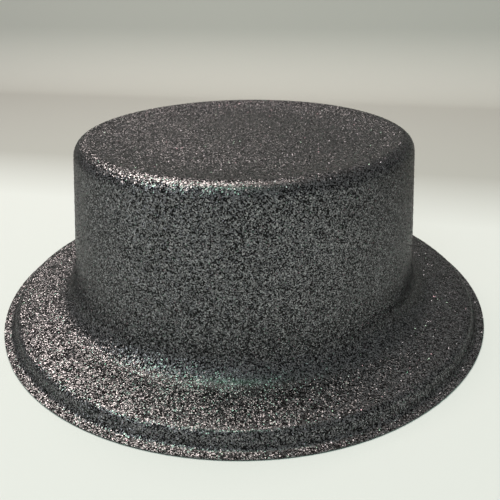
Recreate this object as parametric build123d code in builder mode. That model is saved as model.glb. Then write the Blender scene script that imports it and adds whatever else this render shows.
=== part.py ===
"""A party top hat: one sheet of thin plastic, vacuum formed into crown, brim and lip, under a glitter coat.

Frame: +Z up, the front of the hat faces -Y. The origin is on the ground, under the middle of the hat.
The plan is a four-centre oval, so every level of the hat is the same oval moved outwards or inwards, and
both layers keep their thickness all the way round.
"""

from build123d import *
from math import radians, sqrt, tan
import os

# Driving dimensions, in millimetres and degrees. Corners are the sharp ones, before they are rounded.
# They and the radii are those of the outer face of the glitter coat.
crown_width = 168.0          # side to side, at the corner round the top
crown_length = 188.0         # front to back, at the same corner
crown_height = 91.0          # ground to that corner
wall_draft = 6.3             # lean of the crown's wall from upright, which lets it leave the mould
top_edge_radius = 6.5
dish_angle = 9.0             # slope from the top's edge down into its dish
dish_depth = 4.2             # corner round the top down to the flat middle of the dish
dish_radius = 200.0
dish_margin = 5.0            # the flat middle's part of the profile, beyond the dish's rounding
cove_radius = 12.0           # where the wall runs out into the brim
brim_reach = 39.3            # crown's top corner out to the brim's shoulder
shoulder_height = 7.6        # ground to the shoulder
brim_droop = 4.0             # fall of the brim on its way out
shoulder_radius = 3.2
lip_angle = 68.0             # steepness of the lip that turns down from the shoulder
foot_radius = 2.0            # where the lip runs out into the flange
flange_width = 4.2           # foot of the lip to the cut edge
sheet_thickness = 0.5
coat_thickness = 0.3

hat_thickness = sheet_thickness + coat_thickness

# Plan: two end arcs and two side arcs, which meet on lines at 45 degrees through their centres.
centre_offset = (crown_length - crown_width) / 2 / (2 - sqrt(2))
end_radius = crown_length / 2 - centre_offset
side_radius = end_radius + centre_offset * sqrt(2)
arc_size = 90.0
plan_arcs = [  # centre, radius at the crown's top corner, direction of the arc's start
    (Vector(0, centre_offset), end_radius, 45.0),
    (Vector(centre_offset, 0), side_radius, 135.0),
    (Vector(0, -centre_offset), end_radius, 225.0),
    (Vector(-centre_offset, 0), side_radius, 315.0),
]

# Profile: corners of the outer face as (distance out from the crown's top corner, height).
dish_height = crown_height - dish_depth
dish_corner = -dish_depth / tan(radians(dish_angle))
dish_start = dish_corner - dish_radius * tan(radians(dish_angle / 2)) - dish_margin
draft_slope = tan(radians(wall_draft))
droop_slope = tan(radians(brim_droop))
wall_drop = (crown_height - shoulder_height - brim_reach * droop_slope) / (1 - draft_slope * droop_slope)
foot = brim_reach + (shoulder_height - hat_thickness) / tan(radians(lip_angle))
profile = [
    (dish_start, dish_height, None),
    (dish_corner, dish_height, dish_radius),
    (0, crown_height, top_edge_radius),
    (wall_drop * draft_slope, crown_height - wall_drop, cove_radius),
    (brim_reach, shoulder_height, shoulder_radius),
    (foot, hat_thickness, foot_radius),
    (foot + flange_width, hat_thickness, None),
]


def face_below(depth):
    """The profile of the face this far under the outer one: its corners, then the radii that round them."""
    points = [Vector(out, height) for out, height, _ in profile]
    ways = [(end - start).normalized() for start, end in zip(points, points[1:])]
    corners, radii = [], []
    for point, (_, _, radius), before, after in zip(points, profile, ways[:1] + ways, ways + ways[-1:]):
        inwards = before.rotate(Axis.Z, -90) + after.rotate(Axis.Z, -90)
        corners.append(point + inwards * (depth / (1 + before.dot(after))))
        if radius:
            hollow = before.cross(after).Z > 0
            radii.append(radius + depth if hollow else radius - depth)
    return corners, radii


os.makedirs("parts", exist_ok=True)

# The two layers of the hat, each from its depth below the outer face down to the next depth.
layers = [
    # The glitter flakes and the lacquer that holds them, bonded all over the sheet's outer face.
    ("glitter_coat", 0, coat_thickness),
    # The plastic sheet, formed over a mould and cut round the flange. It carries the whole hat.
    ("formed_shell", coat_thickness, hat_thickness),
]
for label, top, bottom in layers:
    with BuildPart() as layer:
        # The top's edge, the wall, the brim and the lip: the profile, turned about each arc's centre.
        for centre, radius, start in plan_arcs:
            outwards = Vector(1, 0).rotate(Axis.Z, start)
            across = outwards.rotate(Axis.Z, -90)
            with BuildSketch(Plane(origin=centre, x_dir=outwards, z_dir=across)):
                with BuildLine():
                    ends = []
                    for depth in (top, bottom):
                        corners, radii = face_below(depth)
                        points = [corner + Vector(radius, 0) for corner in corners]
                        FilletPolyline(*points, radius=radii)
                        ends.append((points[0], points[-1]))
                    for one, other in zip(*ends):
                        Line(one, other)
                make_face()
            revolve(axis=Axis(centre, (0, 0, 1)), revolution_arc=arc_size)
        # The flat middle of the dish.
        with BuildSketch(Plane.XY.offset(dish_height - bottom)):
            with BuildLine():
                for centre, radius, start in plan_arcs:
                    CenterArc(centre, radius + dish_start, start, arc_size)
            make_face()
        extrude(amount=bottom - top)
    layer.part.label = label
    export_step(layer.part, f"parts/{label}.step")
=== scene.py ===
from math import pi, radians, sin, cos

import bpy
from mathutils import Matrix, Vector


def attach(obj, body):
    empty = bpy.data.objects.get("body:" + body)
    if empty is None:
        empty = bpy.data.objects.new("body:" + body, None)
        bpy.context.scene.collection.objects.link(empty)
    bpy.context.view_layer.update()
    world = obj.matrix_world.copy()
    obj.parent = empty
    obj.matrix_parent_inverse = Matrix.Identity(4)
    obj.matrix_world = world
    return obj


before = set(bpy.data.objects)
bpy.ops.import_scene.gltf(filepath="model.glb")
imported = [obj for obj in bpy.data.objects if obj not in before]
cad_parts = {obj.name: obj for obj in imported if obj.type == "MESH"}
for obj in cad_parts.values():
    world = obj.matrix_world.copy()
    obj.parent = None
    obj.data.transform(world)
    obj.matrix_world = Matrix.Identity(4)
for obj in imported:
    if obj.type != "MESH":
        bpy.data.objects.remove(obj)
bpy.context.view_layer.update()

# ---------------------------------------------------------------- viewpoint
# The hat is seen from in front and above, turned a little so that its right side comes nearer, by a
# lens close to the object. The picture's middle lies off the lens axis, which the two shifts give.
VIEW_TURN = 0.233            # radians the view is turned about the hat's upright axis
VIEW_PITCH = 0.470           # radians the lens looks down
VIEW_ROLL = -0.009           # radians the view is tipped about the lens axis
VIEW_DISTANCE = 0.3275       # lens to the point it looks at
VIEW_AIM = Vector((-0.0072, 0.0, 0.0048))

camera_data = bpy.data.cameras.new("view")
camera_data.sensor_width = 36.0
camera_data.lens = 40.32
camera_data.shift_x = 0.0353
camera_data.shift_y = 0.0531
camera_data.clip_start = 0.01
camera = bpy.data.objects.new("view", camera_data)
bpy.context.scene.collection.objects.link(camera)
turned = Matrix.Rotation(VIEW_TURN, 4, "Z")
tilted = Matrix.Rotation(pi / 2 - VIEW_PITCH, 4, "X") @ Matrix.Rotation(VIEW_ROLL, 4, "Z")
back_off = Vector((0, -cos(VIEW_PITCH), sin(VIEW_PITCH))) * VIEW_DISTANCE
camera.matrix_world = turned @ Matrix.Translation(VIEW_AIM + back_off) @ tilted
bpy.context.scene.camera = camera
bpy.context.scene.view_settings.view_transform = "Standard"

# ---------------------------------------------------------------- formed shell
# The hat itself: half a millimetre of black polystyrene sheet, softened by heat and sucked down over a
# mould. Its inside is bare, so it is smooth and glossy, with the faint orange peel of a drawn sheet.
PEEL_WIDTH = 0.00154         # one bump of the orange peel
PEEL_HEIGHT = 0.0004
FLOW_WIDTH = 0.0167          # the broad, faint clouds that the heated sheet keeps


def linear(colour):
    """A colour written as an sRGB hex number, as Blender's linear red, green, blue and alpha."""
    channels = [int(colour[i:i + 2], 16) / 255 for i in (1, 3, 5)]
    return [c / 12.92 if c < 0.04045 else ((c + 0.055) / 1.055) ** 2.4 for c in channels] + [1.0]


def add_node(tree, kind, inputs=None, **settings):
    """Adds a node. An input is given by its name or number, as a value or as the socket that feeds it."""
    node = tree.nodes.new(kind)
    for name, value in settings.items():
        setattr(node, name, value)
    for key, value in (inputs or {}).items():
        if isinstance(value, bpy.types.NodeSocket):
            tree.links.new(value, node.inputs[key])
        else:
            node.inputs[key].default_value = value
    return node


def new_material(name):
    """An empty material with its node tree and its output node."""
    material = bpy.data.materials.new(name)
    material.use_nodes = True
    material.node_tree.nodes.clear()
    return material, material.node_tree


def dress(node_name, material):
    """Gives a CAD node's object this material in each of its slots."""
    piece = bpy.data.objects[node_name]
    if not piece.material_slots:
        piece.data.materials.append(material)
    for slot in piece.material_slots:
        slot.material = material


# Black polystyrene, vacuum formed: a deep black that is a little uneven, with a broad soft highlight.
black_plastic, tree = new_material("formed_black_polystyrene")
place = add_node(tree, "ShaderNodeTexCoord")
peel = add_node(tree, "ShaderNodeTexNoise", {
    "Vector": place.outputs["Object"], "Scale": 1 / PEEL_WIDTH, "Detail": 3.0})
flow = add_node(tree, "ShaderNodeTexNoise", {
    "Vector": place.outputs["Object"], "Scale": 1 / FLOW_WIDTH, "Detail": 2.0})
shade = add_node(tree, "ShaderNodeValToRGB", {"Fac": flow.outputs["Fac"]})
shade.color_ramp.elements[0].position = 0.3
shade.color_ramp.elements[0].color = linear("#151516")
shade.color_ramp.elements[1].position = 0.7
shade.color_ramp.elements[1].color = linear("#1F1F21")
gloss = add_node(tree, "ShaderNodeMapRange", {"Value": peel.outputs["Fac"], "To Min": 0.24, "To Max": 0.40})
bump = add_node(tree, "ShaderNodeBump", {
    "Height": peel.outputs["Fac"], "Strength": 0.12, "Distance": PEEL_HEIGHT})
shader = add_node(tree, "ShaderNodeBsdfPrincipled", {
    "Base Color": shade.outputs["Color"], "Roughness": gloss.outputs["Result"],
    "Normal": bump.outputs["Normal"], "IOR": 1.59})
add_node(tree, "ShaderNodeOutputMaterial", {"Surface": shader.outputs["BSDF"]})
dress("formed_shell", black_plastic)

# ---------------------------------------------------------------- glitter coat
# The bed of the glitter: black and grey flakes of metallised film, packed edge to edge in clear
# lacquer all over the sheet's outer face. Each flake lies at an angle of its own.
# The real flakes are about 0.2 mm wide, too fine to show, so they are drawn as coarse as they need to.
BED_FLAKE = 0.00042          # width of one flake, as drawn
BED_LEAN = 0.80              # twice the tangent of the most that a flake leans, along each axis
BED_FILMS = [(0.0, "#0C0C0C"), (0.46, "#7A7A7B"), (0.82, "#A6A6A8")]    # where each tone starts

# Glitter in lacquer: every flake mirrors another part of the room, which gives a grain of black and
# grey, and the lacquer lays a thin clear gloss over it.
glitter, tree = new_material("black_glitter_in_lacquer")
place = add_node(tree, "ShaderNodeTexCoord")
cells = add_node(tree, "ShaderNodeTexVoronoi", {"Vector": place.outputs["Object"], "Scale": 1 / BED_FLAKE})
apart = add_node(tree, "ShaderNodeSeparateColor", {"Color": cells.outputs["Color"]})
tone = add_node(tree, "ShaderNodeValToRGB", {"Fac": apart.outputs["Red"]})
tone.color_ramp.interpolation = "CONSTANT"
tone.color_ramp.elements.remove(tone.color_ramp.elements[1])
tone.color_ramp.elements[0].color = linear(BED_FILMS[0][1])
for share, colour in BED_FILMS[1:]:
    tone.color_ramp.elements.new(share).color = linear(colour)
centred = add_node(tree, "ShaderNodeVectorMath", {0: cells.outputs["Color"], 1: (0.5, 0.5, 0.5)},
                   operation="SUBTRACT")
lean = add_node(tree, "ShaderNodeVectorMath", {0: centred.outputs["Vector"], "Scale": BED_LEAN},
                operation="SCALE")
face = add_node(tree, "ShaderNodeNewGeometry")
leant = add_node(tree, "ShaderNodeVectorMath", {0: face.outputs["Normal"], 1: lean.outputs["Vector"]},
                 operation="ADD")
normal = add_node(tree, "ShaderNodeVectorMath", {0: leant.outputs["Vector"]}, operation="NORMALIZE")
shader = add_node(tree, "ShaderNodeBsdfPrincipled", {
    "Base Color": tone.outputs["Color"], "Normal": normal.outputs["Vector"], "Metallic": 0.9,
    "Roughness": 0.32, "Specular Tint": linear("#303030"), "Coat Weight": 0.34, "Coat Roughness": 0.32})
add_node(tree, "ShaderNodeOutputMaterial", {"Surface": shader.outputs["BSDF"]})
dress("glitter_coat", glitter)

# ---------------------------------------------------------------- raised flakes
# The flakes on top of the bed: six-sided cuts of metallised polyester film, thrown on last and caught
# by the lacquer at odd angles. Most are black or grey, some silver, and a few flash pink or green.
# They are drawn as coarse as the bed's flakes, each with a flat top and a point in the lacquer.
FLAKE_WIDTH = 0.00046
FLAKE_DEPTH = 0.00020        # flat top to the point
FLAKE_PROUD = 0.00008        # flat top above the coat
FLAKE_SMALLEST = 0.7         # of the width above
FLAKE_LARGEST = 1.15
FLAKE_DENSITY = 420000.0     # flakes on a square metre
FLAKE_LEAN = 0.42            # radians, each way
OUTER_FACING = 0.05          # the outer side looks up more than this, because the wall leans in
WALL_FOOT = 0.022            # height where the wall's upright part starts
WALL_HEAD = 0.0835           # height where the edge round the top starts


def film(name, colour, roughness):
    """Metallised polyester film: a mirror of one colour, dulled a little by the lacquer over it."""
    material, tree = new_material(name)
    shader = add_node(tree, "ShaderNodeBsdfPrincipled", {
        "Base Color": linear(colour), "Metallic": 1.0, "Roughness": roughness,
        "Specular Tint": linear("#606060")})
    add_node(tree, "ShaderNodeOutputMaterial", {"Surface": shader.outputs["BSDF"]})
    return material


# Each film with the share of the flakes where it starts.
films = [
    (0.00, film("black_film", "#1A1A1B", 0.25)),
    (0.35, film("grey_film", "#5C5C60", 0.36)),
    (0.68, film("silver_film", "#85858A", 0.34)),
    (0.93, film("pink_film", "#8A757C", 0.34)),
    (0.965, film("green_film", "#71897C", 0.34)),
]


def flake_tree():
    """Scatters flakes over the outer side of a skin, between two heights."""
    tree = bpy.data.node_groups.new("scattered_flakes", "GeometryNodeTree")
    sockets = tree.interface
    sockets.new_socket("Skin", in_out="INPUT", socket_type="NodeSocketGeometry")
    for name in ("Lowest", "Highest", "Density", "Width", "Depth", "Proud", "Lean"):
        sockets.new_socket(name, in_out="INPUT", socket_type="NodeSocketFloat")
    sockets.new_socket("Seed", in_out="INPUT", socket_type="NodeSocketInt")
    sockets.new_socket("Flakes", in_out="OUTPUT", socket_type="NodeSocketGeometry")
    given = add_node(tree, "NodeGroupInput").outputs

    # Points on the outer side of the skin, between the two heights.
    spread = add_node(tree, "GeometryNodeDistributePointsOnFaces", {
        "Mesh": given["Skin"], "Density": given["Density"], "Seed": given["Seed"]})
    place = add_node(tree, "GeometryNodeInputPosition")
    height = add_node(tree, "ShaderNodeSeparateXYZ", {0: place.outputs[0]})
    facing = add_node(tree, "ShaderNodeSeparateXYZ", {0: spread.outputs["Normal"]})
    hold = add_node(tree, "GeometryNodeStoreNamedAttribute", {
        "Geometry": spread.outputs["Points"], "Name": "upward", "Value": facing.outputs["Z"]})
    upward = add_node(tree, "GeometryNodeInputNamedAttribute", {"Name": "upward"})
    outer = add_node(tree, "FunctionNodeCompare", {"A": upward.outputs[0], "B": OUTER_FACING},
                     operation="GREATER_THAN")
    above = add_node(tree, "FunctionNodeCompare", {"A": height.outputs["Z"], "B": given["Lowest"]},
                     operation="GREATER_THAN")
    below = add_node(tree, "FunctionNodeCompare", {"A": height.outputs["Z"], "B": given["Highest"]},
                     operation="LESS_THAN")
    between = add_node(tree, "FunctionNodeBooleanMath", {0: above.outputs[0], 1: below.outputs[0]})
    wanted = add_node(tree, "FunctionNodeBooleanMath", {0: between.outputs[0], 1: outer.outputs[0]})

    # A six-sided flake, with its point down.
    radius = add_node(tree, "ShaderNodeMath", {0: given["Width"], 1: 0.5}, operation="MULTIPLY")
    flake = add_node(tree, "GeometryNodeMeshCone", {
        "Vertices": 6, "Radius Top": radius.outputs[0], "Radius Bottom": 0.0, "Depth": given["Depth"]})
    sunk = add_node(tree, "ShaderNodeMath", {0: given["Proud"], 1: given["Depth"]}, operation="SUBTRACT")
    drop = add_node(tree, "ShaderNodeCombineXYZ", {"Z": sunk.outputs[0]})
    seated = add_node(tree, "GeometryNodeTransform", {
        "Geometry": flake.outputs["Mesh"], "Translation": drop.outputs[0]})

    # Each flake leans its own way, is turned at random and has its own size.
    less = add_node(tree, "ShaderNodeMath", {0: given["Lean"], 1: -1.0}, operation="MULTIPLY")
    least = add_node(tree, "ShaderNodeCombineXYZ", {"X": less.outputs[0], "Y": less.outputs[0]})
    most = add_node(tree, "ShaderNodeCombineXYZ", {"X": given["Lean"], "Y": given["Lean"], "Z": pi})
    leaning = add_node(tree, "FunctionNodeRandomValue", {
        "Min": least.outputs[0], "Max": most.outputs[0], "Seed": given["Seed"]}, data_type="FLOAT_VECTOR")
    turn = add_node(tree, "FunctionNodeEulerToRotation", {0: leaning.outputs[0]})
    turned = add_node(tree, "FunctionNodeRotateRotation", {
        "Rotation": spread.outputs["Rotation"], "Rotate By": turn.outputs[0]}, rotation_space="LOCAL")
    growth = add_node(tree, "FunctionNodeRandomValue", {
        2: FLAKE_SMALLEST, 3: FLAKE_LARGEST, "Seed": given["Seed"]})
    laid = add_node(tree, "GeometryNodeInstanceOnPoints", {
        "Points": hold.outputs[0], "Selection": wanted.outputs[0], "Instance": seated.outputs[0],
        "Rotation": turned.outputs[0], "Scale": growth.outputs[1]})

    # A lot is drawn for each flake, and gives it its film.
    lot = add_node(tree, "FunctionNodeRandomValue", {2: 0.0, 3: 1.0, "Seed": given["Seed"]})
    marked = add_node(tree, "GeometryNodeStoreNamedAttribute", {
        "Geometry": laid.outputs[0], "Name": "film", "Value": lot.outputs[1]}, domain="INSTANCE")
    flakes = add_node(tree, "GeometryNodeRealizeInstances", {0: marked.outputs[0]})
    drawn = add_node(tree, "GeometryNodeInputNamedAttribute", {"Name": "film"})
    for share, material in films:
        chosen = add_node(tree, "FunctionNodeCompare", {"A": drawn.outputs[0], "B": share},
                          operation="GREATER_EQUAL")
        flakes = add_node(tree, "GeometryNodeSetMaterial", {
            "Geometry": flakes.outputs[0], "Selection": chosen.outputs[0], "Material": material})
    add_node(tree, "NodeGroupOutput", {0: flakes.outputs[0]})
    return tree


def scatter(name, lowest, highest, seed):
    """Flakes on the coat between two heights, as a plain mesh that rides with the hat."""
    start = bpy.data.objects.new(name + "_start", bpy.data.objects["glitter_coat"].data)
    bpy.context.scene.collection.objects.link(start)
    modifier = start.modifiers.new("flakes", "NODES")
    modifier.node_group = scattered
    values = {"Lowest": lowest, "Highest": highest, "Density": FLAKE_DENSITY, "Width": FLAKE_WIDTH,
              "Depth": FLAKE_DEPTH, "Proud": FLAKE_PROUD, "Lean": FLAKE_LEAN, "Seed": seed}
    for item in scattered.interface.items_tree:
        if item.in_out == "INPUT" and item.name in values:
            modifier[item.identifier] = values[item.name]
    covered = start.evaluated_get(bpy.context.evaluated_depsgraph_get())
    mesh = bpy.data.meshes.new_from_object(covered)
    bpy.data.objects.remove(start)
    mesh.name = name
    piece = bpy.data.objects.new(name, mesh)
    bpy.context.scene.collection.objects.link(piece)
    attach(piece, "root")


scattered = flake_tree()
scatter("crown_top_flakes", WALL_HEAD, 1.0, 3)
scatter("crown_wall_flakes", WALL_FOOT, WALL_HEAD, 5)
scatter("brim_flakes", -1.0, WALL_FOOT, 7)

# ---------------------------------------------------------------- surroundings
# A pale cloth that lies under the hat and rises far behind it, with a broad window high behind on the
# left, a small green ceiling light high in front and a wide soft light in front. The cloth glows a
# little by itself, also in the flakes, and can be looked through from below.
CLOTH_FRONT = -1.2
CLOTH_RISE = 0.62            # where the cloth starts to rise
CLOTH_BEND = 0.10            # radius of its bend
CLOTH_STEPS = 12             # straight runs in the bend
CLOTH_TOP = 0.30
CLOTH_SPREAD = 2.0           # to each side
CLOTH_SHADE = 0.12           # where the cloth's painted shade starts, behind the hat

profile = [(CLOTH_FRONT, 0.0), (CLOTH_RISE, 0.0)]
for step in range(1, CLOTH_STEPS + 1):
    angle = radians(90) * step / CLOTH_STEPS
    profile.append((CLOTH_RISE + CLOTH_BEND * sin(angle), CLOTH_BEND * (1 - cos(angle))))
profile.append((CLOTH_RISE + CLOTH_BEND, CLOTH_TOP))
corners = [(side * CLOTH_SPREAD, y, z) for y, z in profile for side in (-1, 1)]
faces = [(2 * i, 2 * i + 1, 2 * i + 3, 2 * i + 2) for i in range(len(profile) - 1)]
mesh = bpy.data.meshes.new("cloth")
mesh.from_pydata(corners, [], faces)
mesh.shade_smooth()
cloth = bpy.data.objects.new("cloth", mesh)
bpy.context.scene.collection.objects.link(cloth)

# Pale cloth: matt and nearly white by the hat. Painted shade makes it greyer farther back, where less light
# falls on it, and its glow carries the same painted shade.
matt, tree = new_material("pale_cloth")
place = add_node(tree, "ShaderNodeTexCoord")
depth = add_node(tree, "ShaderNodeSeparateXYZ", {0: place.outputs["Object"]})
far = add_node(tree, "ShaderNodeMapRange", {
    "Value": depth.outputs["Y"], "From Min": CLOTH_SHADE, "From Max": CLOTH_RISE + CLOTH_BEND})
# Painted shade: the colour greys from the hat backwards, then lightens a little where the cloth rises.
pale = add_node(tree, "ShaderNodeValToRGB", {"Fac": far.outputs["Result"]})
pale.color_ramp.elements[0].color = linear("#D3D8D6")
pale.color_ramp.elements[1].color = linear("#BFC1BC")
pale.color_ramp.elements.new(0.22).color = linear("#A9ABA6")
pale.color_ramp.elements.new(0.80).color = linear("#A5A6A1")
sheet = add_node(tree, "ShaderNodeBsdfPrincipled", {"Base Color": pale.outputs["Color"], "Roughness": 0.9})
shine = add_node(tree, "ShaderNodeEmission", {"Color": pale.outputs["Color"], "Strength": 0.10})
ray = add_node(tree, "ShaderNodeLightPath")
direct = add_node(tree, "ShaderNodeMath", {
    0: ray.outputs["Is Camera Ray"], 1: ray.outputs["Is Glossy Ray"]}, operation="ADD")
seen = add_node(tree, "ShaderNodeMath", {0: direct.outputs[0], 1: ray.outputs["Is Transmission Ray"]},
                operation="ADD", use_clamp=True)
none = add_node(tree, "ShaderNodeEmission", {"Strength": 0.0})
glow = add_node(tree, "ShaderNodeMixShader", {0: seen.outputs[0], 1: none.outputs[0], 2: shine.outputs[0]})
both = add_node(tree, "ShaderNodeAddShader", {0: sheet.outputs[0], 1: glow.outputs[0]})
clear = add_node(tree, "ShaderNodeBsdfTransparent")
turned_away = add_node(tree, "ShaderNodeNewGeometry")
whole = add_node(tree, "ShaderNodeMixShader", {
    0: turned_away.outputs["Backfacing"], 1: both.outputs[0], 2: clear.outputs[0]})
add_node(tree, "ShaderNodeOutputMaterial", {"Surface": whole.outputs[0]})
mesh.materials.append(matt)


def lamp(name, turn, rise, reach, width, height, power, colour):
    """A soft lamp that faces the hat, from so many degrees round to the left of straight behind it."""
    data = bpy.data.lights.new(name, "AREA")
    data.shape = "RECTANGLE"
    data.size = width
    data.size_y = height
    data.energy = power
    data.color = linear(colour)[:3]
    around, up = radians(turn), radians(rise)
    place = Vector((-sin(around) * cos(up), cos(around) * cos(up), sin(up))) * reach
    light = bpy.data.objects.new(name, data)
    light.location = place
    light.rotation_euler = (-place).to_track_quat("-Z", "Y").to_euler()
    bpy.context.scene.collection.objects.link(light)


lamp("window", 40, 75, 1.5, 1.10, 0.66, 21.0, "#FFEDE6")
lamp("ceiling_light", 180, 76, 1.35, 0.34, 0.12, 3.0, "#B8FFDC")
lamp("front_softbox", 170, 50, 1.8, 1.2, 0.8, 5.0, "#F4F8FF")

world = bpy.data.worlds.new("room")
world.use_nodes = True
bpy.context.scene.world = world
room = world.node_tree
room.nodes.clear()
sky = add_node(room, "ShaderNodeBackground", {"Color": linear("#C8CACC"), "Strength": 0.35})
add_node(room, "ShaderNodeOutputWorld", {"Surface": sky.outputs["Background"]})
